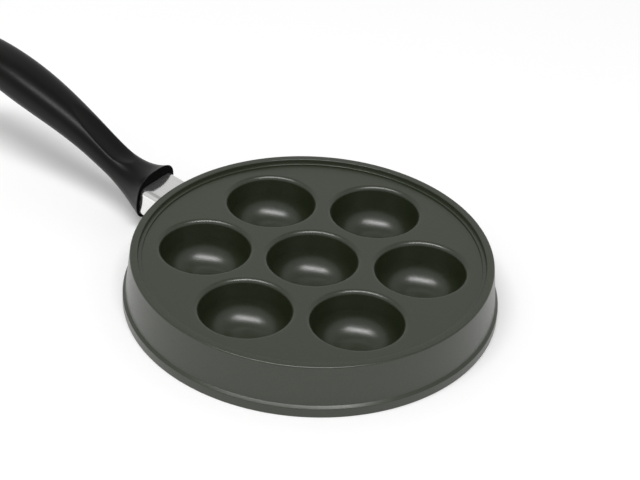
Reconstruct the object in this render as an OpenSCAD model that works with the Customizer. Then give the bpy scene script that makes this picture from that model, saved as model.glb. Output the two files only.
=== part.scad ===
// Pan with seven round wells for filled pancakes, with a flame guard and a moulded handle.
// Millimetres, +Z up. The origin is on the axis of the pan, on the surface it stands on.
// The handle runs along +X.

/* [Rim, skirt and foot] */
// Outer diameter of the rim
rim_d = 230; // [220:1:250]
// Height of the rim above the base
pan_h = 34; // [33:0.5:42]
// Width of the rim across its top
rim_w = 4.8; // [4:0.1:6]
// Rounding of the rim's outer edge
rim_round = 1.1; // [0.8:0.1:2]
// Rounding of the rim's inner edge and of the step's edge
rim_edge = 0.5; // [0.3:0.1:0.6]
// Height of the wall between the rim and the step inside it
step_drop = 2.3; // [1.5:0.1:3]
// Inward slope of that wall
step_slope = 0.3; // [0.2:0.1:1.5]
// Width of the step
step_w = 2.2; // [1.1:0.1:3]
// Height of the step above the plate
step_h = 1.1; // [0.8:0.1:1.6]
// Thickness of the plate between the wells
plate_t = 3.2; // [2.5:0.1:4]
// Thickness of the skirt
skirt_t = 3.2; // [2.5:0.1:4]
// How much wider the skirt is at the foot than at the rim, in radius
skirt_lean = 2.9; // [1:0.1:4]
// Height of the foot band where it meets the skirt
foot_h = 7.6; // [5:0.1:9]
// How far the foot band stands out from the skirt
foot_out = 1.8; // [1:0.1:4]
// How far the foot band's top falls from the skirt to its edge
foot_fall = 1.4; // [0.6:0.1:2]
// Rounding of the foot band's upper edge
foot_round = 0.6; // [0.4:0.1:1]
// Bevel on the foot band's lower edges
foot_bevel = 0.5; // [0.3:0.1:1]

/* [Wells] */
// Number of wells in the ring round the middle one
ring_wells = 6; // [4:1:6]
// Distance from the middle well to each well in the ring
well_pitch = 68.6; // [67:0.2:71]
// Radius of a well just below its rounded lip
throat_r = 28.4; // [24:0.1:29]
// Rounding of a well's lip
lip_round = 3.2; // [2.4:0.1:5]
// How much a well narrows from its lip to its bowl, in radius
well_draft = 0.9; // [0.5:0.1:2]
// Radius of the curve between a well's wall and its floor
bowl_round = 16; // [10:0.5:18]
// Thickness of a well's wall
well_t = 3.2; // [2.5:0.1:4]
// Thickness of a well's floor
floor_t = 4; // [3.5:0.1:6]
// Diameter of the flat pad under each well
pad_d = 26; // [20:1:30]

/* [Lug and tang] */
// Length of the lug's root from the rim to its end
lug_l = 11; // [8:0.5:13]
// Clearance at each side of the lug inside the flame guard
lug_gap = 0.3; // [0.2:0.1:0.6]
// Width of the tang inside the handle
tang_w = 13; // [10:0.5:14]
// Thickness of the tang
tang_t = 8; // [6:0.5:9]
// Length of the tang beyond the lug's root
tang_l = 42; // [34:1:44]
// Angle at which the tang rises, from level
tang_rise = 17; // [14:0.5:19]

/* [Flame guard] */
// Angle at which the lug and the flame guard rise, and at which the handle's mouth leans
lug_rise = 6; // [3:0.5:8]
// Width of the flame guard
guard_w = 31; // [26:0.5:31.5]
// Height of the flame guard
guard_h = 22; // [18:0.5:22.5]
// Thickness of the flame guard's sheet
guard_t = 1; // [0.8:0.1:1.5]
// Outer radius of the bends along the flame guard's upper edges
guard_bend = 4.5; // [3:0.1:5.5]
// Outer radius of the bends along the flame guard's lower edges
guard_foot_bend = 5.5; // [5:0.1:7]
// How far the flame guard's top lies below the rim's top, at the rim
guard_sink = 1.7; // [1:0.1:4]
// How far the flame guard reaches into the handle
guard_in = 1.8; // [1:0.1:2]
// Clearance round the flame guard at the skirt and in the handle
guard_gap = 0.3; // [0.2:0.1:0.5]

/* [Handle] */
// Distance from the rim to the handle's mouth, along the lug
mouth_out = 15.5; // [13:0.2:20]
// Length of the handle, from mouth to tail
handle_l = 190; // [185:1:205]
// Width of the mouth
mouth_w = 37.4; // [37:0.2:42]
// Height of the mouth
mouth_h = 36.2; // [35:0.2:40]
// Height of the mouth's middle above the flame guard's middle
mouth_lift = 1.9; // [1:0.1:2.5]
// Squareness of the mouth: 2 is an ellipse, more is squarer
mouth_power = 2.7; // [2.5:0.1:3.5]
// Squareness of the grip
grip_power = 2.4; // [2:0.1:3]
// Width of the neck behind the mouth
neck_w = 22.8; // [21:0.2:28]
// Thickness of the neck
neck_h = 19.2; // [19:0.2:24]
// Width of the grip
grip_w = 32.5; // [28:0.5:38]
// Thickness of the grip
grip_h = 25.6; // [22:0.2:30]
// Width of the tail where its round end starts
tail_w = 27; // [22:0.5:32]
// Thickness of the tail where its round end starts
tail_h = 16; // [12:0.5:22]
// Rise of the handle's centre line from mouth to tail
handle_rise = 50; // [46:0.5:54]
// Depth of the thumb rest
thumb_depth = 2.5; // [1:0.1:3]
// Width of the thumb rest
thumb_w = 16.8; // [14:0.2:20]
// Length of the thumb rest
thumb_l = 54; // [40:1:70]
// Diameter of the hanging hole
hang_d = 10; // [8:0.5:12]
// Distance of the hanging hole from the end of the tail
hang_in = 17; // [15:0.5:22]

/* [Screw and washer] */
// Thread diameter of the screw
screw_d = 5; // [4:0.1:6]
// Diameter of the screw's head
head_d = 8.6; // [8:0.1:10]
// Height of the screw's head
head_h = 3; // [2:0.1:3.5]
// Distance of the screw from the lug's root, along the tang
screw_x = 25; // [20:0.5:30]
// Clearance between the screw and its hole, in radius
screw_gap = 0.1; // [0.1:0.05:0.3]
// Outer diameter of the washer
washer_d = 10; // [9.5:0.1:12]
// Thickness of the washer
washer_t = 1; // [0.6:0.1:1.5]
// Clearance between the washer and its recess, in radius
recess_gap = 0.3; // [0.2:0.1:0.8]
// Thickness of the handle between the tang and the washer
seat_t = 2.2; // [1.5:0.1:3]

/* [Hidden] */
$fn = 96;
// Overlap that makes two joined shapes meet cleanly, and a cut pass clear of a face
join = 1;

rim_r = rim_d / 2;
skirt_r = rim_r + skirt_lean;
foot_r = skirt_r + foot_out;
// Angle at which the foot band's top falls, and height at which its rounded edge ends
foot_slope = atan(foot_fall / foot_out);
foot_edge_z = foot_h - foot_fall - foot_round / tan((90 + foot_slope) / 2);
step_z = pan_h - step_drop;
plate_z = step_z - step_h;
step_out_r = rim_r - rim_w - step_slope;
step_in_r = step_out_r - step_w;
plate_r = step_in_r - rim_edge;
// Angle at which the sloping wall runs into the rim's rounded inner edge
wall_angle = 180 - atan(step_slope / step_drop);
well_depth = plate_z - floor_t;
bowl_top_r = throat_r - well_draft;
floor_r = bowl_top_r - bowl_round;
bowl_z = bowl_round - well_depth;
// The lip's curve is cut off this far below its top, so that it meets the plate at an edge
lip_rise = 0.05;

// Height of the flame guard's middle at the rim
guard_z = pan_h - guard_sink - guard_h / 2;
mouth_x = rim_r + mouth_out * cos(lug_rise) - mouth_lift * sin(lug_rise);
mouth_z = guard_z + mouth_out * sin(lug_rise) + mouth_lift * cos(lug_rise);
// Distance from the rim, along the lug, at which the flame guard ends inside the handle
guard_end = mouth_out + guard_in;
// How far the lug and the flame guard start inside the rim, before they are cut to the skirt
lug_root = 6;
// How far the tang starts inside the lug
tang_root = 4;
// How far the screw goes up into the tang
screw_in = tang_t - 1;
// Radius of the holes that the screw passes through
clear_r = screw_d / 2 + screw_gap;

// Distances from the mouth: of the steepest part of the centre line, of the start of its
// crest, of the neck, of the thickest part of the grip and of the start of the round tail
knee_x = 50;
crest_x = 110;
neck_x = 35;
grip_x = 117;
tail_x = handle_l - 12;
tail_z = mouth_z + handle_rise;
hang_x = mouth_x + handle_l - hang_in;
// Heights of the centre line at the knee and at the crest, as shares of the rise
knee_share = 0.349;
crest_share = 0.77;
// Slopes of the centre line at the mouth, the knee and the crest
mouth_slope = tan(lug_rise);
knee_slope = 0.466;
crest_slope = 0.272;
// Slopes of the half width and the half height at the mouth, and of both at the tail
flare_w = -0.47;
flare_h = -0.45;
tail_slope = -0.12;
// Curves of the handle, as [distance from mouth, value, slope] at a few stations
rise_line = [[0, 0, mouth_slope], [knee_x, knee_share * handle_rise, knee_slope],
             [crest_x, crest_share * handle_rise, crest_slope], [tail_x, handle_rise, 0]];
width_line = [[0, mouth_w / 2, flare_w], [neck_x, neck_w / 2, 0],
              [grip_x, grip_w / 2, 0], [tail_x, tail_w / 2, tail_slope]];
height_line = [[0, mouth_h / 2, flare_h], [neck_x, neck_h / 2, 0],
               [grip_x, grip_h / 2, 0], [tail_x, tail_h / 2, tail_slope]];
// Distance from the mouth to the widest and deepest place of the thumb rest, and the part of its
// length that lies in front of that place
thumb_x = 38;
thumb_front = 15.5;
handle_sides = 32;
handle_rings = 36;
tail_rings = 6;
// How much closer the rings stand near the mouth: 1 is even spacing
ring_bunching = 1.25;
// Angle round the tail's end at which the last ring stands, just short of its tip
last_ring = 88;
// Steps along each rounded edge of the casting and of the flame guard
edge_steps = 4;

// Points of an arc of radius r round (x, y), from angle a to angle b
function arc(x, y, r, a, b) =
    [for (i = [0 : edge_steps])
        let (t = a + (b - a) * i / edge_steps) [x + r * cos(t), y + r * sin(t)]];

// Smooth curve through stations [x, value, slope]
function curve(s, x, i = 0) =
    i < len(s) - 2 && x > s[i + 1][0]
        ? curve(s, x, i + 1)
        : blend(s[i], s[i + 1], (x - s[i][0]) / (s[i + 1][0] - s[i][0]));

// Cubic blend between two stations at the share t of the way
function blend(p, q, t) =
    (1 + 2 * t) * pow(1 - t, 2) * p[1] + t * pow(1 - t, 2) * (q[0] - p[0]) * p[2]
    + t * t * (3 - 2 * t) * q[1] + t * t * (t - 1) * (q[0] - p[0]) * q[2];

// Goes smoothly from 0 at a to 1 at b
function ease(a, b, x) =
    let (t = max(0, min(1, (x - a) / (b - a)))) t * t * (3 - 2 * t);

function signed_power(v, p) = sign(v) * pow(abs(v), p);

// Depth of the thumb rest, a dish, at the distance x from the mouth and y off the middle
function thumb(x, y) =
    let (reach = x < thumb_x ? thumb_front : thumb_l - thumb_front)
    thumb_depth * max(0, 1 - pow((x - thumb_x) / reach, 2) - pow(2 * y / thumb_w, 2));

// Rounds the handle's tail off
function tail_scale(x) =
    x <= tail_x ? 1 : sqrt(max(0, 1 - pow((x - tail_x) / (handle_l - tail_x), 2)));

// Distances of the handle's rings from its mouth
ring_x = concat(
    [for (i = [0 : handle_rings]) tail_x * pow(i / handle_rings, ring_bunching)],
    [for (i = [1 : tail_rings]) tail_x + (handle_l - tail_x) * sin(last_ring * i / tail_rings)]);

// Height of the centre line above the mouth's middle, and the angle at which a ring leans
function line_z(x) = curve(rise_line, min(x, tail_x));
function lean(x) =
    let (a = max(0, x - join), b = x + join)
    x == 0 ? lug_rise : atan((line_z(b) - line_z(a)) / (b - a));

// One ring of the handle's surface
function ring(x) =
    let (w = curve(width_line, min(x, tail_x)) * tail_scale(x),
         h = curve(height_line, min(x, tail_x)) * tail_scale(x),
         a = lean(x),
         p = 2 / (mouth_power + (grip_power - mouth_power) * ease(0, neck_x, x)))
    [for (i = [0 : handle_sides - 1])
        let (t = 360 * i / handle_sides,
             y = w * signed_power(cos(t), p),
             q = h * signed_power(sin(t), p) - (sin(t) > 0 ? thumb(x, y) : 0))
        [mouth_x + x - q * sin(a), y, mouth_z + line_z(x) + q * cos(a)]];

// Section of the casting from its axis to the foot band
module casting_section() {
    polygon(concat(
        [[0, plate_z - plate_t], [0, plate_z], [plate_r, plate_z]],
        arc(step_in_r + rim_edge, step_z - rim_edge, rim_edge, 180, 90),
        [[step_out_r, step_z]],
        arc(rim_r - rim_w + rim_edge, pan_h - rim_edge, rim_edge, wall_angle, 90),
        arc(rim_r - rim_round, pan_h - rim_round, rim_round, 90, 0),
        [[skirt_r, foot_h]],
        arc(foot_r - foot_round, foot_edge_z, foot_round, 90 - foot_slope, 0),
        [[foot_r, foot_bevel], [foot_r - foot_bevel, 0]],
        [[skirt_r - skirt_t + foot_bevel, 0], [skirt_r - skirt_t, foot_bevel]],
        [[rim_r - skirt_t, plate_z - plate_t]]));
}

// Section of the hollow of a well, down from the plate's surface at height 0
module well_section() {
    intersection() {
        translate([0, -well_depth]) square([throat_r + lip_round, well_depth + join]);
        union() {
            translate([floor_r, bowl_z]) circle(bowl_round);
            translate([0, -well_depth]) square([floor_r, well_depth]);
            polygon([[0, bowl_z], [bowl_top_r - lip_rise, bowl_z], [throat_r, -lip_round],
                     [0, -lip_round]]);
            difference() {
                translate([0, -lip_round]) square([throat_r + lip_round, lip_round + join]);
                translate([throat_r + lip_round, lip_rise - lip_round]) circle(lip_round);
            }
        }
    }
}

// Section of the outside of a well, from the plate down towards the base
module shell_section() {
    intersection() {
        translate([0, -plate_z]) square([throat_r + well_t, plate_z - plate_t / 2]);
        union() {
            translate([floor_r, bowl_z]) circle(bowl_round + well_t);
            translate([0, bowl_z - bowl_round - well_t]) square([floor_r, bowl_round + well_t]);
            polygon([[0, bowl_z], [bowl_top_r + well_t - lip_rise, bowl_z],
                     [throat_r + well_t, -lip_round], [throat_r + well_t, 0], [0, 0]]);
        }
    }
}

// Outside of a well and the flat pad under it
module well_shell() {
    rotate_extrude() shell_section();
    translate([0, 0, -plate_z]) cylinder(h = floor_t - join, d = pad_d);
}

// Puts its child at each well
module at_wells() {
    children();
    for (i = [0 : ring_wells - 1])
        rotate([0, 0, 360 / ring_wells * (i + 0.5)]) translate([well_pitch, 0, 0]) children();
}

// Puts its child at the rim, at the flame guard's middle and turned to the lug's rise
module on_lug() {
    translate([rim_r, 0, guard_z]) rotate([0, -lug_rise, 0]) children();
}

// Bar along the lug from a to b beyond the rim, with the flame guard's section made larger by
// side at each side and by end at its top and its bottom
module guard_bar(a, b, side, end) {
    w = guard_w / 2 + side;
    h = guard_h / 2 + end;
    top = guard_bend + end;
    foot = guard_foot_bend + end;
    on_lug() translate([a, 0, 0]) rotate([90, 0, 90])
        linear_extrude(b - a)
            polygon(concat(arc(w - foot, foot - h, foot, -90, 0), arc(w - top, h - top, top, 0, 90),
                           arc(top - w, h - top, top, 90, 180), arc(foot - w, foot - h, foot, 180, 270)));
}

// Puts its child at the tang's start, turned to the tang's rise
module on_tang() {
    on_lug() translate([lug_l, 0, 0]) rotate([0, lug_rise - tang_rise, 0]) children();
}

// Puts its child on the screw's axis, with +Z going down out of the tang's lower face
module on_screw() {
    on_tang() translate([screw_x, 0, -tang_t / 2]) rotate([180, 0, 0]) children();
}

// The tang, wider by gap at its sides and longer by gap at its end
module tang(gap) {
    on_tang() translate([-tang_root, -tang_w / 2 - gap, -tang_t / 2])
        cube([tang_root + tang_l + gap, tang_w + 2 * gap, tang_t]);
}

// Lug on the skirt, with the tang that goes into the handle
module lug() {
    difference() {
        guard_bar(-lug_root, lug_l, -guard_t - lug_gap, -guard_t);
        cylinder(h = pan_h, r1 = skirt_r - skirt_t / 2, r2 = rim_r - skirt_t / 2);
    }
    tang(0);
}

module pan_body() {
    color([0.24, 0.25, 0.23])
    difference() {
        union() {
            rotate_extrude() casting_section();
            translate([0, 0, plate_z]) at_wells() well_shell();
            lug();
        }
        translate([0, 0, plate_z]) at_wells() rotate_extrude() well_section();
        on_screw() translate([0, 0, -tang_t - join])
            cylinder(h = tang_t + 2 * join, r = screw_d / 2);
    }
}

module flame_guard() {
    color([0.82, 0.82, 0.8])
    difference() {
        guard_bar(-lug_root, guard_end, 0, 0);
        guard_bar(-lug_root - join, guard_end + join, -guard_t, -guard_t);
        translate([0, 0, foot_h])
            cylinder(h = pan_h - foot_h, r1 = skirt_r + guard_gap, r2 = rim_r + guard_gap);
    }
}

// Recess in the mouth for the flame guard
module guard_recess() {
    guard_bar(mouth_out - join, guard_end + guard_gap, guard_gap, guard_gap);
}

// Hole for the screw, with the recess for its washer and head
module screw_hole() {
    on_screw() translate([0, 0, -join]) cylinder(h = seat_t + 2 * join, r = clear_r);
    on_screw() translate([0, 0, seat_t]) cylinder(h = handle_l, r = washer_d / 2 + recess_gap);
}

module handle() {
    rings = [for (x = ring_x) ring(x)];
    n = handle_sides;
    last = len(rings) - 1;
    color([0.06, 0.06, 0.055])
    difference() {
        polyhedron(
            points = concat([for (r = rings) each r], [[mouth_x + handle_l, 0, tail_z]]),
            faces = concat(
                [[for (i = [0 : n - 1]) i]],
                [for (k = [0 : last - 1], i = [0 : n - 1])
                    [k * n + i, (k + 1) * n + i, (k + 1) * n + (i + 1) % n]],
                [for (k = [0 : last - 1], i = [0 : n - 1])
                    [k * n + i, (k + 1) * n + (i + 1) % n, k * n + (i + 1) % n]],
                [for (i = [0 : n - 1]) [last * n + i, (last + 1) * n, last * n + (i + 1) % n]]));
        guard_recess();
        tang(guard_gap);
        screw_hole();
        translate([hang_x, 0, mouth_z]) cylinder(h = 2 * handle_rise, d = hang_d);
    }
}

module handle_screw() {
    color([0.75, 0.75, 0.75]) on_screw() {
        translate([0, 0, -screw_in])
            cylinder(h = screw_in + seat_t + washer_t, r = screw_d / 2 - screw_gap);
        translate([0, 0, seat_t + washer_t]) cylinder(h = head_h, d = head_d);
    }
}

module screw_washer() {
    color([0.75, 0.75, 0.75]) on_screw() translate([0, 0, seat_t])
        difference() {
            cylinder(h = washer_t, d = washer_d);
            translate([0, 0, -join]) cylinder(h = washer_t + 2 * join, r = clear_r);
        }
}

pan_body();
flame_guard();
handle();
handle_screw();
screw_washer();
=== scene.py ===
# Pan with seven round wells, a flame guard and a moulded handle, with its studio and camera.
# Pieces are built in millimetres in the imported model's frame, and become metres when they are
# dressed. The origin is on the pan's axis, on the surface it stands on, and +X is the handle's side.

import math

import bmesh
import bpy
from mathutils import Matrix, Vector
from mathutils.geometry import delaunay_2d_cdt


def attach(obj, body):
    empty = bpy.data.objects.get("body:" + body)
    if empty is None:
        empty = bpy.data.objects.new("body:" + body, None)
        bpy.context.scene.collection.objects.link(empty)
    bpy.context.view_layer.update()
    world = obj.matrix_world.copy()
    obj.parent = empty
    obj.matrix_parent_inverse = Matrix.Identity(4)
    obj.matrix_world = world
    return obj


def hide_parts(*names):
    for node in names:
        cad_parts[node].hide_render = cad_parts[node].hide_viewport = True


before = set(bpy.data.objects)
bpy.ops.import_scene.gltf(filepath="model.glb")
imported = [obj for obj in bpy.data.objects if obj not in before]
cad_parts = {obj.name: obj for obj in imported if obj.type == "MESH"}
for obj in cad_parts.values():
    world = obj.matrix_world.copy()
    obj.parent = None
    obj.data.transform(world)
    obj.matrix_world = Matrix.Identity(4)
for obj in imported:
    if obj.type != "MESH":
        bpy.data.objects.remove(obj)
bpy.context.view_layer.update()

MM = 0.001
QUARTER = math.pi / 2
# Points closer than this, in millimetres, are one point
JOIN = 0.002
# Faces that meet at a larger angle than this show an edge
SHARP = math.radians(32)
# Rounded corners have a point about every so many degrees
CORNER_STEP = 8
# How far a cutter passes clear of what it cuts
CLEAR = 1.0

# Rim of the casting, and the step and the ledge inside it
RIM_R = 115.0
PAN_H = 34.0
RIM_W = 4.8
RIM_ROUND = 1.1
RIM_EDGE = 0.6
STEP_DROP = 2.3
STEP_SLOPE = 0.3
STEP_W = 2.2
STEP_H = 1.1
STEP_EDGE = 0.5
STEP_DRAFT = 0.1
STEP_Z = PAN_H - STEP_DROP
STEP_OUT_R = RIM_R - RIM_W - STEP_SLOPE
STEP_IN_R = STEP_OUT_R - STEP_W

# Skirt and foot band
SKIRT_T = 3.2
SKIRT_LEAN = 2.9
SKIRT_R = RIM_R + SKIRT_LEAN
FOOT_H = 7.6
FOOT_OUT = 1.8
FOOT_FALL = 1.4
FOOT_ROUND = 0.6
FOOT_EDGE = 0.5
FOOT_R = SKIRT_R + FOOT_OUT

# Plate. Its flat faces end this far inside the step, above, and inside the skirt, below
PLATE_T = 3.2
TOP_INSET = 3.0
UNDER_INSET = 5.0
UNDER_ROUND = 3.0
PLATE_Z = STEP_Z - STEP_H
TOP_R = STEP_IN_R - TOP_INSET
UNDER_R = RIM_R - SKIRT_T - UNDER_INSET
UNDER_Z = PLATE_Z - PLATE_T
CASTING_SIDES = 288

# Wells. WELL_DRAFT is how far a wall leans in between the lip and the bowl, and FLOOR_T is the
# height of the bowl's inside above the surface that the pan stands on
RING_WELLS = 6
WELL_PITCH = 68.6
THROAT_R = 28.4
LIP_ROUND = 3.2
WELL_DRAFT = 0.9
BOWL_ROUND = 16.0
WELL_T = 3.2
FLOOR_T = 4.0
WELL_DEPTH = PLATE_Z - FLOOR_T
WELL_SLOPE = WELL_DRAFT / (WELL_DEPTH - BOWL_ROUND - LIP_ROUND)
WELL_SIDES = 112
# The bowls under the plate, with the flat pads on which the pan stands
ROOT_ROUND = 2.0
PAD_R = 13.0
PAD_EDGE = 0.4
PAD_DROP = 0.1
SHELL_SIDES = 96
# A well's own faces reach this far into the plate, round its lip and round its root
LIP_REACH = 0.6
ROOT_REACH = 2.2
LIP_R = THROAT_R + LIP_ROUND + LIP_REACH
ROOT_R = THROAT_R + WELL_T + ROOT_REACH

# Lug, flame guard and tang. Lengths along the lug start at the rim
LUG_RISE = math.radians(6)
LUG_L = 11.0
LUG_GAP = 0.3
GUARD_W = 31.0
GUARD_H = 22.0
GUARD_T = 1.0
GUARD_BEND = 4.5
GUARD_FOOT_BEND = 5.5
GUARD_GAP = 0.3
GUARD_SINK = 1.7
GUARD_Z = PAN_H - GUARD_SINK - GUARD_H / 2
TANG_W = 13.0
TANG_T = 8.0
TANG_L = 42.0
TANG_EDGE = 0.6
TANG_ROOT = 4.0
TANG_RISE = math.radians(17)
# The skirt's place along the lug is found in this many rounds
SKIRT_ROUNDS = 6

# Handle's mouth, which slips over the flame guard, at its place on the lug
MOUTH_OUT = 15.5
MOUTH_LIFT = 1.9
MOUTH_ROUND = 0.7
MOUTH_STEPS = 6
MOUTH_X = RIM_R + MOUTH_OUT * math.cos(LUG_RISE) - MOUTH_LIFT * math.sin(LUG_RISE)
MOUTH_Z = GUARD_Z + MOUTH_OUT * math.sin(LUG_RISE) + MOUTH_LIFT * math.cos(LUG_RISE)
GUARD_IN = 1.8
GUARD_END = MOUTH_OUT + GUARD_IN
# The end face, which gets a duller copy of the phenolic as painted shade, lies this near the mouth,
# and its faces turn this far towards the pan
END_DEPTH = 5.0
END_FACING = 0.92

# Handle. A larger POWER gives a squarer section, and 2 an ellipse
HANDLE_L = 190.0
HANDLE_RISE = 50.0
TAIL_L = 12.0
MOUTH_POWER = 2.7
GRIP_POWER = 2.4
HANDLE_SIDES = 144
HANDLE_STEP = 0.75
TAIL_RINGS = 16
# Stations along the handle, as distances from its mouth
NECK_X = 35.0
KNEE_X = 50.0
CREST_X = 110.0
GRIP_X = 117.0
TAIL_X = HANDLE_L - TAIL_L
# Shares of the rise that are reached at two stations, and the slopes there
KNEE_SHARE = 0.349
KNEE_SLOPE = 0.466
CREST_SHARE = 0.77
CREST_SLOPE = 0.272
# Widths and heights of its section
MOUTH_W = 37.4
MOUTH_H = 36.2
NECK_W = 22.8
NECK_H = 19.2
GRIP_W = 32.5
GRIP_H = 25.6
TAIL_W = 27.0
TAIL_H = 16.0
# Slopes of half the width and half the height at the mouth and at the tail
FLARE_W = -0.47
FLARE_H = -0.45
TAIL_SLOPE = -0.12
# Curves of the handle, as (distance from mouth, value, slope) at a few stations
RISE_LINE = [(0, 0, math.tan(LUG_RISE)), (KNEE_X, KNEE_SHARE * HANDLE_RISE, KNEE_SLOPE),
             (CREST_X, CREST_SHARE * HANDLE_RISE, CREST_SLOPE), (TAIL_X, HANDLE_RISE, 0)]
WIDTH_LINE = [(0, MOUTH_W / 2, FLARE_W), (NECK_X, NECK_W / 2, 0),
              (GRIP_X, GRIP_W / 2, 0), (TAIL_X, TAIL_W / 2, TAIL_SLOPE)]
HEIGHT_LINE = [(0, MOUTH_H / 2, FLARE_H), (NECK_X, NECK_H / 2, 0),
               (GRIP_X, GRIP_H / 2, 0), (TAIL_X, TAIL_H / 2, TAIL_SLOPE)]

# Thumb rest, deepest at THUMB_X and longer towards the tail. A larger edge is a softer one
THUMB_X = 38.0
THUMB_FRONT = 15.5
THUMB_BACK = 38.5
THUMB_W = 16.8
THUMB_DEPTH = 2.5
THUMB_EDGE = 0.14

# Hanging hole
HANG_IN = 17.0
HANG_X = MOUTH_X + HANDLE_L - HANG_IN
HANG_R = 5.0
HANG_ROUND = 1.2
HANG_SIDES = 96
HANG_STEPS = 8

# Screw and washer. Depths on the screw's line start at the tang's lower face
THREAD_HOLE_R = 2.5
SCREW_GAP = 0.1
SCREW_R = THREAD_HOLE_R - SCREW_GAP
SCREW_HOLE_R = THREAD_HOLE_R + SCREW_GAP
SCREW_X = 25.0
# The screw ends this far below the tang's upper face
TIP_GAP = 1.0
SCREW_IN = TANG_T - TIP_GAP
TIP_ROUND = 0.5
HEAD_R = 4.3
HEAD_H = 3.0
HEAD_ROUND = 0.9
STEEL_EDGE = 0.2
SEAT_T = 2.2
WASHER_R = 5.0
WASHER_T = 1.0
RECESS_GAP = 0.3
RECESS_R = WASHER_R + RECESS_GAP
POST_SIDES = 64
# Cross slot in the screw's head. Its bars taper from one share of their size, just over the
# head, to another at their bottom
CROSS_W = 1.0
CROSS_L = 4.6
CROSS_DEPTH = 1.6
CROSS_BOTTOM = 0.6
CROSS_TOP = 1.1
CROSS_OVER = 0.2

# Noise mostly lies between these two values
NOISE_LOW = 0.3
NOISE_HIGH = 0.7

# The camera stands where it stood for the photograph. Its place and turn were found in a frame
# that has the camera at -Y, so they are turned by the handle's angle in that frame
HANDLE_ANGLE = math.radians(145.2)
FROM_PHOTO = Matrix.Rotation(-HANDLE_ANGLE, 4, "Z")
CAMERA_DISTANCE = 1.2
CAMERA_ELEVATION = math.radians(36.53)
CAMERA_YAW = math.radians(0.242)
CAMERA_PITCH = math.radians(34.787)
CAMERA_ROLL = math.radians(-3.325)
PHOTO_WIDTH = 640
FOCAL_PIXELS = 1870.7
SENSOR_WIDTH = 36.0

# Floor of white paper, which glows a little where it is seen, so that it looks as white as the room
PAPER_HALF = 2500
PAPER_T = 20
PAPER_WHITE = 0.9
PAPER_GLOW = 0.1

# The room's walls end and its ceiling starts at these heights on a sphere of radius 1
WALL_END = 0.76
CEILING_START = 0.88
WALL_LIGHT = 0.62
CEILING_LIGHT = 0.33
WHITE = (1, 1, 1, 1)


# Shapes

def quarter(steps):
    """Angles from nothing to a right angle, in equal steps."""
    return [QUARTER * k / steps for k in range(steps + 1)]


def rounded(corners, closed=False):
    """Points along a line through corners (x, y, radius), with each corner rounded off."""
    points = []
    last = len(corners) - 1
    for i, (x, y, radius) in enumerate(corners):
        if radius == 0 or (not closed and i in (0, last)):
            points.append((x, y))
            continue
        here = Vector((x, y))
        back = (Vector(corners[i - 1][:2]) - here).normalized()
        ahead = (Vector(corners[(i + 1) % len(corners)][:2]) - here).normalized()
        half = back.angle(ahead) / 2
        centre = here + (back + ahead).normalized() * radius / math.sin(half)
        start = here + back * radius / math.tan(half) - centre
        end = here + ahead * radius / math.tan(half) - centre
        turn = math.atan2(start.x * end.y - start.y * end.x, start.dot(end))
        steps = max(2, math.ceil(abs(math.degrees(turn)) / CORNER_STEP))
        for k in range(steps + 1):
            arm = Matrix.Rotation(turn * k / steps, 2) @ start
            points.append((centre.x + arm.x, centre.y + arm.y))
    return points


def circle(radius, z, sides, centre=(0, 0)):
    """Points of a level circle. A radius of nothing gives one point, a pole."""
    if radius < JOIN:
        return [(*centre, z)]
    return [(centre[0] + radius * math.cos(2 * math.pi * i / sides),
             centre[1] + radius * math.sin(2 * math.pi * i / sides), z) for i in range(sides)]


class Shape:
    """Points and faces of one piece, in millimetres."""

    def __init__(self):
        self.points = []
        self.faces = []

    def add(self, points):
        """Adds points and gives their numbers."""
        first = len(self.points)
        self.points += [tuple(p) for p in points]
        return list(range(first, len(self.points)))

    def loft(self, rings, caps=False):
        """Joins rings of equally many points. A ring of one point is a pole."""
        numbers = [self.add(ring) for ring in rings]
        for a, b in zip(numbers, numbers[1:]):
            count = max(len(a), len(b))
            for i in range(count):
                j = (i + 1) % count
                corners = [a[i % len(a)], a[j % len(a)], b[j % len(b)], b[i % len(b)]]
                self.faces.append(list(dict.fromkeys(corners)))
        if caps:
            self.faces += [numbers[0], numbers[-1]]

    def lathe(self, profile, sides, centre=(0, 0), lift=0):
        """Turns a profile of (radius, height) points round an upright axis."""
        self.loft([circle(r, z + lift, sides, centre) for r, z in profile])

    def plate(self, z, radius, sides, holes, hole_radius, hole_sides):
        """A level disc with round holes."""
        rings = [circle(radius, z, sides)]
        rings += [circle(hole_radius, z, hole_sides, hole) for hole in holes]
        flat = []
        edges = []
        for ring in rings:
            first = len(flat)
            flat += [Vector(p[:2]) for p in ring]
            edges += [(first + i, first + (i + 1) % len(ring)) for i in range(len(ring))]
        places, _, triangles = delaunay_2d_cdt(flat, edges, [], 0, JOIN)[:3]
        numbers = self.add((p.x, p.y, z) for p in places)
        for triangle in triangles:
            middle = sum((places[i] for i in triangle), Vector((0, 0))) / 3
            if all((middle - Vector(hole)).length > hole_radius for hole in holes):
                self.faces.append([numbers[i] for i in triangle])

    def moved(self, matrix):
        """The shape after a move."""
        self.points = [tuple(matrix @ Vector(p)) for p in self.points]
        return self

    def make(self, name):
        """A mesh object of the shape, still in millimetres."""
        mesh = bpy.data.meshes.new(name)
        mesh.from_pydata(self.points, [], self.faces)
        work = bmesh.new()
        work.from_mesh(mesh)
        bmesh.ops.remove_doubles(work, verts=work.verts, dist=JOIN)
        bmesh.ops.recalc_face_normals(work, faces=work.faces)
        work.to_mesh(mesh)
        work.free()
        piece = bpy.data.objects.new(name, mesh)
        bpy.context.scene.collection.objects.link(piece)
        return piece


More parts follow.
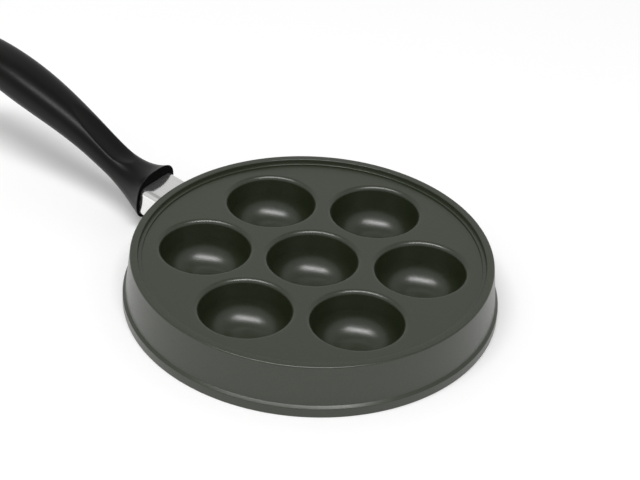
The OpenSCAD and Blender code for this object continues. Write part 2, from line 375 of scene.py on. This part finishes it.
def cut(piece, cutter):
    """Cuts one closed piece out of another."""
    change = piece.modifiers.new("cut", "BOOLEAN")
    change.operation = "DIFFERENCE"
    change.solver = "EXACT"
    change.object = cutter
    shaped = piece.evaluated_get(bpy.context.evaluated_depsgraph_get())
    mesh = bpy.data.meshes.new_from_object(shaped)
    piece.modifiers.clear()
    piece.data = mesh
    bpy.data.objects.remove(cutter)


def merge(piece, other):
    """Puts another piece's faces in with this one's."""
    work = bmesh.new()
    work.from_mesh(piece.data)
    work.from_mesh(other.data)
    work.to_mesh(piece.data)
    work.free()
    bpy.data.objects.remove(other)


def dress(piece, material, node):
    """Brings a finished piece to metres and puts it in the place of its CAD node."""
    piece.data.transform(Matrix.Scale(MM, 4))
    piece.data.shade_smooth()
    piece.data.set_sharp_from_angle(angle=SHARP)
    piece.data.materials.clear()
    piece.data.materials.append(material)
    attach(piece, "root")
    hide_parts(node)


# Materials

def node_tree(name):
    """A new material, its nodes' tree and its main shader."""
    material = bpy.data.materials.new(name)
    material.use_nodes = True
    tree = material.node_tree
    return material, tree, tree.nodes["Principled BSDF"]


def noise(tree, scale, detail, stretch=(1, 1, 1)):
    """Fine noise over the object's own coordinates, in metres. Gives its height."""
    place = tree.nodes.new("ShaderNodeTexCoord")
    mapping = tree.nodes.new("ShaderNodeMapping")
    mapping.inputs["Scale"].default_value = stretch
    made = tree.nodes.new("ShaderNodeTexNoise")
    made.inputs["Scale"].default_value = scale
    made.inputs["Detail"].default_value = detail
    tree.links.new(place.outputs["Object"], mapping.inputs["Vector"])
    tree.links.new(mapping.outputs["Vector"], made.inputs["Vector"])
    return made.outputs["Fac"]


def between(tree, value, start, end, low, high):
    """Goes from low to high while a value goes from start to end."""
    made = tree.nodes.new("ShaderNodeMapRange")
    made.inputs["From Min"].default_value = start
    made.inputs["From Max"].default_value = end
    made.inputs["To Min"].default_value = low
    made.inputs["To Max"].default_value = high
    tree.links.new(value, made.inputs["Value"])
    return made.outputs["Result"]


def tint(tree, shader, value, dark, light):
    """Colours the surface between dark and light, by noise."""
    made = tree.nodes.new("ShaderNodeValToRGB")
    made.color_ramp.elements[0].position = NOISE_LOW
    made.color_ramp.elements[0].color = (*dark, 1)
    made.color_ramp.elements[1].position = NOISE_HIGH
    made.color_ramp.elements[1].color = (*light, 1)
    tree.links.new(value, made.inputs["Fac"])
    tree.links.new(made.outputs["Color"], shader.inputs["Base Color"])


def roughen(tree, shader, value, low, high):
    """Spreads the surface's roughness from low to high, by noise."""
    made = between(tree, value, NOISE_LOW, NOISE_HIGH, low, high)
    tree.links.new(made, shader.inputs["Roughness"])


def bump(tree, shader, value, height, strength):
    """Raises the surface by noise, by up to a height in metres."""
    made = tree.nodes.new("ShaderNodeBump")
    made.inputs["Distance"].default_value = height
    made.inputs["Strength"].default_value = strength
    tree.links.new(value, made.inputs["Height"])
    tree.links.new(made.outputs["Normal"], shader.inputs["Normal"])


def coat_material():
    """Dark grey non-stick coat: satin, with a fine speckle."""
    material, tree, shader = node_tree("non_stick_coat")
    speckle = noise(tree, scale=1400, detail=3)
    tint(tree, shader, speckle, dark=(0.009, 0.0135, 0.003), light=(0.021, 0.0265, 0.013))
    roughen(tree, shader, noise(tree, scale=500, detail=2), low=0.28, high=0.33)
    bump(tree, shader, speckle, height=0.000001, strength=0.3)
    shader.inputs["Specular IOR Level"].default_value = 0.74
    return material


def phenolic_material(name, smoothest, roughest, shine):
    """Black moulded phenolic, with its range of roughness and its strength of reflection."""
    material, tree, shader = node_tree(name)
    clouds = noise(tree, scale=60, detail=2)
    tint(tree, shader, clouds, dark=(0.0006, 0.0009, 0.0005), light=(0.0014, 0.0018, 0.0012))
    roughen(tree, shader, noise(tree, scale=300, detail=3), smoothest, roughest)
    bump(tree, shader, noise(tree, scale=2200, detail=3), height=0.00001, strength=0.25)
    shader.inputs["Specular IOR Level"].default_value = shine
    return material


def polished_material():
    """Polished steel, with faint lines along the handle from the polishing belt."""
    material, tree, shader = node_tree("polished_steel")
    lines = noise(tree, scale=1500, detail=4, stretch=(0.02, 1, 1))
    tint(tree, shader, lines, dark=(0.84, 0.84, 0.825), light=(0.92, 0.92, 0.905))
    roughen(tree, shader, lines, low=0.11, high=0.15)
    bump(tree, shader, lines, height=0.000002, strength=0.2)
    shader.inputs["Metallic"].default_value = 0.95
    return material


def zinc_material():
    """Zinc-plated steel."""
    material, tree, shader = node_tree("zinc_plate")
    bloom = noise(tree, scale=700, detail=3)
    tint(tree, shader, bloom, dark=(0.52, 0.53, 0.54), light=(0.66, 0.67, 0.68))
    roughen(tree, shader, bloom, low=0.26, high=0.4)
    shader.inputs["Metallic"].default_value = 1
    return material


# Places and forms that the casting, the flame guard and the handle share

def on_lug():
    """Place at the rim at the flame guard's middle, leaning as the lug does."""
    return Matrix.Translation((RIM_R, 0, GUARD_Z)) @ Matrix.Rotation(-LUG_RISE, 4, "Y")


def on_tang():
    """Place of the tang's start, leaning as the tang does."""
    return on_lug() @ Matrix.Translation((LUG_L, 0, 0)) @ Matrix.Rotation(LUG_RISE - TANG_RISE, 4, "Y")


def on_screw():
    """Place on the screw's line at the tang's lower face, with +Z going down out of the handle."""
    return on_tang() @ Matrix.Translation((SCREW_X, 0, -TANG_T / 2)) @ Matrix.Rotation(math.pi, 4, "X")


def guard_section(side, end):
    """Section of the flame guard, larger by side at each side and by end at its top and its bottom."""
    half_w = GUARD_W / 2 + side
    half_h = GUARD_H / 2 + end
    top = GUARD_BEND + end
    foot = GUARD_FOOT_BEND + end
    return rounded([(half_w, -half_h, foot), (half_w, half_h, top), (-half_w, half_h, top),
                    (-half_w, -half_h, foot)], closed=True)


def skirt_end(y, z, out):
    """Distance along the lug at which a point of its section lies out of the skirt by so much."""
    along = 0
    for _ in range(SKIRT_ROUNDS):
        place = on_lug() @ Vector((along, y, z))
        radius = RIM_R + (PAN_H - place.z) / (PAN_H - FOOT_H) * (SKIRT_R - RIM_R) + out
        along += (math.sqrt(radius ** 2 - y * y) - place.x) / math.cos(LUG_RISE)
    return along


def bar(section, start, end):
    """A closed bar of one section, from start to end along X."""
    shape = Shape()
    shape.loft([[(x, y, z) for y, z in section] for x in (start, end)], caps=True)
    return shape


def tang_bar(gap, edge):
    """The tang, wider by gap at its sides and end."""
    half_w = TANG_W / 2 + gap
    half_t = TANG_T / 2
    section = rounded([(half_w, -half_t, edge), (half_w, half_t, edge),
                       (-half_w, half_t, edge), (-half_w, -half_t, edge)], closed=True)
    return bar(section, -TANG_ROOT, TANG_L + gap).moved(on_tang())


def post(profile):
    """A turned shape on the screw's line."""
    shape = Shape()
    shape.lathe(profile, POST_SIDES)
    return shape.moved(on_screw())


# The casting

def well_centres():
    """The middle well and the wells round it, which lie on both sides of the handle's line."""
    turns = [2 * math.pi * (i + 0.5) / RING_WELLS for i in range(RING_WELLS)]
    return [(0, 0)] + [(WELL_PITCH * math.cos(t), WELL_PITCH * math.sin(t)) for t in turns]


def wall_r(z):
    """Radius of a well's wall at a height below the plate's top, z being negative."""
    return THROAT_R + (z + LIP_ROUND) * WELL_SLOPE


def rim_profile():
    """Profile from the plate's top over the step and the rim, down the skirt and back in below."""
    return rounded([
        (TOP_R, PLATE_Z, 0),
        (STEP_IN_R - STEP_DRAFT, PLATE_Z, 0),
        (STEP_IN_R, STEP_Z, STEP_EDGE),
        (STEP_OUT_R, STEP_Z, 0),
        (RIM_R - RIM_W, PAN_H, RIM_EDGE),
        (RIM_R, PAN_H, RIM_ROUND),
        (SKIRT_R, FOOT_H, 0),
        (FOOT_R, FOOT_H - FOOT_FALL, FOOT_ROUND),
        (FOOT_R, 0, FOOT_EDGE),
        (SKIRT_R - SKIRT_T, 0, FOOT_EDGE),
        (RIM_R - SKIRT_T, UNDER_Z, UNDER_ROUND),
        (UNDER_R, UNDER_Z, 0),
    ])


def well_profile():
    """Profile of a well's inside, from the plate's top at height 0."""
    return rounded([(LIP_R, 0, 0), (wall_r(0), 0, LIP_ROUND),
                    (wall_r(-WELL_DEPTH), -WELL_DEPTH, BOWL_ROUND), (0, -WELL_DEPTH, 0)])


def shell_profile():
    """Profile of a well's outside and its pad, from the plate's underside."""
    shell_z = -WELL_DEPTH - WELL_T
    shell = rounded([(ROOT_R, -PLATE_T, 0), (wall_r(-PLATE_T) + WELL_T, -PLATE_T, ROOT_ROUND),
                     (wall_r(shell_z) + WELL_T, shell_z, BOWL_ROUND + WELL_T), (0, shell_z, 0)])
    shell = [p for p in shell if p[0] > PAD_R + PAD_EDGE]
    pad = rounded([(*shell[-1], 0), (PAD_R, shell[-1][1] - PAD_DROP, 0),
                   (PAD_R, -PLATE_Z, PAD_EDGE), (0, -PLATE_Z, 0)])
    return shell + pad[1:]


def make_lug():
    """The block inside the flame guard, from within the skirt's wall to the tang."""
    section = guard_section(-GUARD_T - LUG_GAP, -GUARD_T)
    core = Shape()
    core.loft([[(skirt_end(y, z, -SKIRT_T / 2), y, z) for y, z in section],
               [(LUG_L, y, z) for y, z in section]], caps=True)
    return core.moved(on_lug()).make("lug")


def make_tang():
    """The bar inside the handle, with its hole for the screw."""
    tang = tang_bar(0, TANG_EDGE).make("tang")
    above = -2 * TANG_T
    hole = post([(0, above), (THREAD_HOLE_R, above), (THREAD_HOLE_R, CLEAR), (0, CLEAR)])
    cut(tang, hole.make("thread_hole"))
    return tang


def make_casting():
    """The pan in one casting: plate, wells, rim, skirt and foot band, with its lug and tang."""
    shape = Shape()
    shape.lathe(rim_profile(), CASTING_SIDES)
    for centre in well_centres():
        shape.lathe(well_profile(), WELL_SIDES, centre, PLATE_Z)
        shape.lathe(shell_profile(), SHELL_SIDES, centre, PLATE_Z)
    shape.plate(PLATE_Z, TOP_R, CASTING_SIDES, well_centres(), LIP_R, WELL_SIDES)
    shape.plate(UNDER_Z, UNDER_R, CASTING_SIDES, well_centres(), ROOT_R, SHELL_SIDES)
    casting = shape.make("pan_casting")
    merge(casting, make_lug())
    merge(casting, make_tang())
    return casting


# The flame guard

def make_guard():
    """Bent sheet round the lug. Its one end follows the skirt, and its other end is in the handle."""
    outside = guard_section(0, 0)
    inside = guard_section(-GUARD_T, -GUARD_T)
    rings = [[(skirt_end(y, z, GUARD_GAP), y, z) for y, z in inside],
             [(skirt_end(y, z, GUARD_GAP), y, z) for y, z in outside],
             [(GUARD_END, y, z) for y, z in outside], [(GUARD_END, y, z) for y, z in inside]]
    shape = Shape()
    shape.loft(rings + rings[:1])
    return shape.moved(on_lug()).make("steel_flame_guard")


# The handle

def blend(p, q, t):
    """Cubic blend between two stations at the share t of the way."""
    span = q[0] - p[0]
    return ((1 + 2 * t) * (1 - t) ** 2 * p[1] + t * (1 - t) ** 2 * span * p[2]
            + t * t * (3 - 2 * t) * q[1] + t * t * (t - 1) * span * q[2])


def curve(stations, x):
    """Smooth curve through stations (distance, value, slope)."""
    i = 0
    while i < len(stations) - 2 and x > stations[i + 1][0]:
        i += 1
    p, q = stations[i], stations[i + 1]
    return blend(p, q, (x - p[0]) / (q[0] - p[0]))


def ease(a, b, x):
    """Goes smoothly from 0 at a to 1 at b."""
    t = max(0.0, min(1.0, (x - a) / (b - a)))
    return t * t * (3 - 2 * t)


def line_z(x):
    """Height of the handle's centre line above the mouth's middle."""
    return curve(RISE_LINE, min(x, TAIL_X))


def lean(x):
    """Angle at which the handle's section leans."""
    return math.atan((line_z(x + JOIN) - line_z(x - JOIN)) / (2 * JOIN))


def thumb(x, y):
    """Depth of the thumb rest, a dish, at the distance x from the mouth and y off the middle."""
    reach = THUMB_FRONT if x < THUMB_X else THUMB_BACK
    inside = 1 - ((x - THUMB_X) / reach) ** 2 - (2 * y / THUMB_W) ** 2
    return THUMB_DEPTH * (inside + math.hypot(inside, THUMB_EDGE)) / 2


def handle_ring(x, inset=0):
    """Section of the handle, a superellipse, at the distance x from its mouth."""
    along = min(x, TAIL_X)
    shrink = math.sqrt(max(0.0, 1 - ((x - along) / TAIL_L) ** 2))
    w = curve(WIDTH_LINE, along) * shrink - inset
    h = curve(HEIGHT_LINE, along) * shrink - inset
    a = lean(x)
    exponent = 2 / (MOUTH_POWER + (GRIP_POWER - MOUTH_POWER) * ease(0, NECK_X, x))
    points = []
    for i in range(HANDLE_SIDES):
        t = 2 * math.pi * i / HANDLE_SIDES
        y = w * math.copysign(abs(math.cos(t)) ** exponent, math.cos(t))
        q = h * math.copysign(abs(math.sin(t)) ** exponent, math.sin(t))
        if q > 0:
            q -= thumb(x, y)
        points.append((MOUTH_X + x - q * math.sin(a), y, MOUTH_Z + line_z(x) + q * math.cos(a)))
    return points


def handle_skin():
    """The handle's outer surface from its mouth to its tail, closed over the mouth."""
    rings = []
    for t in quarter(MOUTH_STEPS):
        rings.append(handle_ring(MOUTH_ROUND * (1 - math.cos(t)), MOUTH_ROUND * (1 - math.sin(t))))
    count = round((TAIL_X - MOUTH_ROUND) / HANDLE_STEP)
    for i in range(1, count + 1):
        rings.append(handle_ring(MOUTH_ROUND + (TAIL_X - MOUTH_ROUND) * i / count))
    for t in quarter(TAIL_RINGS)[1:-1]:
        rings.append(handle_ring(TAIL_X + TAIL_L * math.sin(t)))
    rings.append([(MOUTH_X + HANDLE_L, 0, MOUTH_Z + HANDLE_RISE)])
    shape = Shape()
    shape.loft(rings)
    shape.faces.append(list(range(HANDLE_SIDES)))
    return shape


def tail_surface(x, y, side):
    """Height of the handle's upper (side 1) or lower (side -1) surface near the hanging hole."""
    along = x - MOUTH_X
    w = curve(WIDTH_LINE, along)
    h = curve(HEIGHT_LINE, along)
    share = max(0.0, 1 - abs(y / w) ** GRIP_POWER) ** (1 / GRIP_POWER)
    return MOUTH_Z + line_z(along) + side * h * share / math.cos(lean(along))


def hole_ring(radius, side, sink):
    """Ring of the hanging hole, so far below the handle's upper or above its lower surface."""
    return [(x, y, tail_surface(x, y, side) - side * sink)
            for x, y, _ in circle(radius, 0, HANG_SIDES, (HANG_X, 0))]


def hanging_hole():
    """Cutter of the hanging hole, which opens out in a rounded edge at both surfaces."""
    rings = []
    for side in (-1, 1):
        flare = []
        for t in quarter(HANG_STEPS):
            radius = HANG_R + HANG_ROUND * (1 - math.cos(t))
            flare.append(hole_ring(radius, side, HANG_ROUND * (1 - math.sin(t))))
        flare.append(hole_ring(HANG_R + HANG_ROUND, side, -CLEAR))
        rings += flare if side == 1 else flare[::-1]
    shape = Shape()
    shape.loft(rings, caps=True)
    return shape


def make_handle():
    """Moulded handle, hollow where it holds the flame guard, the tang, the screw and the washer."""
    handle = handle_skin().make("moulded_handle")
    recess = bar(guard_section(GUARD_GAP, GUARD_GAP), MOUTH_OUT - 2 * CLEAR, GUARD_END + GUARD_GAP)
    cut(handle, recess.moved(on_lug()).make("guard_recess"))
    cut(handle, tang_bar(GUARD_GAP, 0).make("tang_slot"))
    cut(handle, post([(0, -CLEAR), (SCREW_HOLE_R, -CLEAR), (SCREW_HOLE_R, SEAT_T), (RECESS_R, SEAT_T),
                      (RECESS_R, HANDLE_RISE), (0, HANDLE_RISE)]).make("screw_recess"))
    cut(handle, hanging_hole().make("hanging_hole"))
    return handle


def shade_end_face(handle, material):
    """Gives the handle's end face round the flame guard a rough, barely reflecting copy of the
    phenolic, as painted shade.
    """
    handle.data.materials.append(material)
    shade_slot = len(handle.data.materials) - 1
    end_line = Vector((-math.cos(LUG_RISE), 0, -math.sin(LUG_RISE)))
    for face in handle.data.polygons:
        if face.center.x < (MOUTH_X + END_DEPTH) * MM and face.normal.dot(end_line) > END_FACING:
            face.material_index = shade_slot


# The screw and the washer

def cross_bar(top, turn):
    """Cutter of one bar of the cross slot, in a head that ends at the depth top."""
    half_w = CROSS_W / 2
    half_l = CROSS_L / 2
    corners = [(half_l, half_w), (-half_l, half_w), (-half_l, -half_w), (half_l, -half_w)]
    shape = Shape()
    shape.loft([[(x * share, y * share, top + z) for x, y in corners]
                for share, z in ((CROSS_BOTTOM, -CROSS_DEPTH), (CROSS_TOP, CROSS_OVER))], caps=True)
    return shape.moved(on_screw() @ Matrix.Rotation(turn, 4, "Z"))


def make_screw():
    """Machine screw with a plain shank, a rounded head and a cross slot."""
    seat = SEAT_T + WASHER_T
    top = seat + HEAD_H
    profile = rounded([(0, -SCREW_IN, 0), (SCREW_R, -SCREW_IN, TIP_ROUND), (SCREW_R, seat, STEEL_EDGE),
                       (HEAD_R, seat, STEEL_EDGE), (HEAD_R, top, HEAD_ROUND), (0, top, 0)])
    screw = post(profile).make("cross_head_screw")
    for turn in (0, QUARTER):
        cut(screw, cross_bar(top, turn).make("cross_slot"))
    return screw


def make_washer():
    """Plain washer under the screw's head."""
    outer = SEAT_T + WASHER_T
    profile = rounded([(SCREW_HOLE_R, SEAT_T, STEEL_EDGE), (WASHER_R, SEAT_T, STEEL_EDGE),
                       (WASHER_R, outer, STEEL_EDGE), (SCREW_HOLE_R, outer, STEEL_EDGE)], closed=True)
    return post(profile + profile[:1]).make("plain_washer")


# Camera, floor, room and lamp

def make_camera():
    """The photograph's camera, from its place, its turn and its focal length in pixels."""
    forward = Vector((math.sin(CAMERA_YAW) * math.cos(CAMERA_PITCH),
                      math.cos(CAMERA_YAW) * math.cos(CAMERA_PITCH), -math.sin(CAMERA_PITCH)))
    right = Vector((math.cos(CAMERA_YAW), -math.sin(CAMERA_YAW), 0))
    down = forward.cross(right)
    across = right * math.cos(CAMERA_ROLL) + down * math.sin(CAMERA_ROLL)
    under = down * math.cos(CAMERA_ROLL) - right * math.sin(CAMERA_ROLL)
    place = Vector((0, -math.cos(CAMERA_ELEVATION), math.sin(CAMERA_ELEVATION))) * CAMERA_DISTANCE
    camera = bpy.data.objects.new("camera", bpy.data.cameras.new("camera"))
    camera.data.sensor_width = SENSOR_WIDTH
    camera.data.lens = FOCAL_PIXELS * SENSOR_WIDTH / PHOTO_WIDTH
    axes = Matrix((across, -under, -forward)).transposed().to_4x4()
    camera.matrix_world = FROM_PHOTO @ Matrix.Translation(place) @ axes
    bpy.context.scene.collection.objects.link(camera)
    bpy.context.scene.camera = camera


def seen_directly(tree):
    """1 for camera, glossy and transmission rays, else 0."""
    path = tree.nodes.new("ShaderNodeLightPath")
    total = path.outputs["Is Camera Ray"]
    for name in ("Is Glossy Ray", "Is Transmission Ray"):
        add = tree.nodes.new("ShaderNodeMath")
        add.operation = "MAXIMUM"
        tree.links.new(total, add.inputs[0])
        tree.links.new(path.outputs[name], add.inputs[1])
        total = add.outputs["Value"]
    return total


def make_floor():
    """Plain white floor that keeps the shadows."""
    half = PAPER_HALF
    corners = [(-half, -half), (half, -half), (half, half), (-half, half)]
    shape = Shape()
    shape.loft([[(x, y, z) for x, y in corners] for z in (-PAPER_T, 0)], caps=True)
    floor = shape.make("floor")
    floor.data.transform(Matrix.Scale(MM, 4))
    material = bpy.data.materials.new("white_paper")
    material.use_nodes = True
    tree = material.node_tree
    tree.nodes.remove(tree.nodes["Principled BSDF"])
    paper = tree.nodes.new("ShaderNodeBsdfDiffuse")
    paper.inputs["Color"].default_value = (PAPER_WHITE, PAPER_WHITE, PAPER_WHITE, 1)
    glow = tree.nodes.new("ShaderNodeEmission")
    mix = tree.nodes.new("ShaderNodeMixShader")
    share = tree.nodes.new("ShaderNodeMath")
    share.operation = "MULTIPLY"
    share.inputs[1].default_value = PAPER_GLOW
    tree.links.new(seen_directly(tree), share.inputs[0])
    tree.links.new(share.outputs["Value"], mix.inputs["Fac"])
    tree.links.new(paper.outputs["BSDF"], mix.inputs[1])
    tree.links.new(glow.outputs["Emission"], mix.inputs[2])
    tree.links.new(mix.outputs["Shader"], tree.nodes["Material Output"].inputs["Surface"])
    floor.data.materials.append(material)


def make_world():
    """A white room with a dim ceiling, and a white backdrop."""
    world = bpy.data.worlds.new("studio")
    world.use_nodes = True
    tree = world.node_tree
    soft = tree.nodes["Background"]
    soft.inputs["Color"].default_value = WHITE
    place = tree.nodes.new("ShaderNodeTexCoord")
    axes = tree.nodes.new("ShaderNodeSeparateXYZ")
    tree.links.new(place.outputs["Generated"], axes.inputs["Vector"])
    light = between(tree, axes.outputs["Z"], WALL_END, CEILING_START, WALL_LIGHT, CEILING_LIGHT)
    tree.links.new(light, soft.inputs["Strength"])
    white = tree.nodes.new("ShaderNodeBackground")
    white.inputs["Color"].default_value = WHITE
    path = tree.nodes.new("ShaderNodeLightPath")
    mix = tree.nodes.new("ShaderNodeMixShader")
    tree.links.new(path.outputs["Is Camera Ray"], mix.inputs["Fac"])
    tree.links.new(soft.outputs["Background"], mix.inputs[1])
    tree.links.new(white.outputs["Background"], mix.inputs[2])
    tree.links.new(mix.outputs["Shader"], tree.nodes["World Output"].inputs["Surface"])
    bpy.context.scene.world = world


def add_lamp(name, place, aim, size, power):
    """A soft oblong lamp. Its place, aim and size are in metres, in the photograph's frame."""
    lamp = bpy.data.objects.new(name, bpy.data.lights.new(name, "AREA"))
    lamp.data.shape = "RECTANGLE"
    lamp.data.size = size[0]
    lamp.data.size_y = size[1]
    lamp.data.energy = power
    look = (Vector(aim) - Vector(place)).to_track_quat("-Z", "Y").to_matrix().to_4x4()
    lamp.matrix_world = FROM_PHOTO @ Matrix.Translation(place) @ look
    bpy.context.scene.collection.objects.link(lamp)


dress(make_casting(), coat_material(), "pan_body")
dress(make_guard(), polished_material(), "flame_guard")
handle = make_handle()
satin = phenolic_material("satin_phenolic", smoothest=0.34, roughest=0.38, shine=0.2)
dress(handle, satin, "handle")
# Painted shade: the end face gets a rough, barely reflecting copy of the phenolic, so it looks darker
# than the rest of the handle
shade_end_face(handle, phenolic_material("end_shade_phenolic", smoothest=0.83, roughest=0.87, shine=0.06))
zinc = zinc_material()
dress(make_screw(), zinc, "handle_screw")
dress(make_washer(), zinc, "screw_washer")

make_camera()
make_floor()
make_world()
add_lamp("key", place=(-0.2, -0.8, 2.6), aim=(0, 0, 0), size=(2.6, 0.6), power=59)
bpy.context.scene.view_settings.view_transform = "Standard"
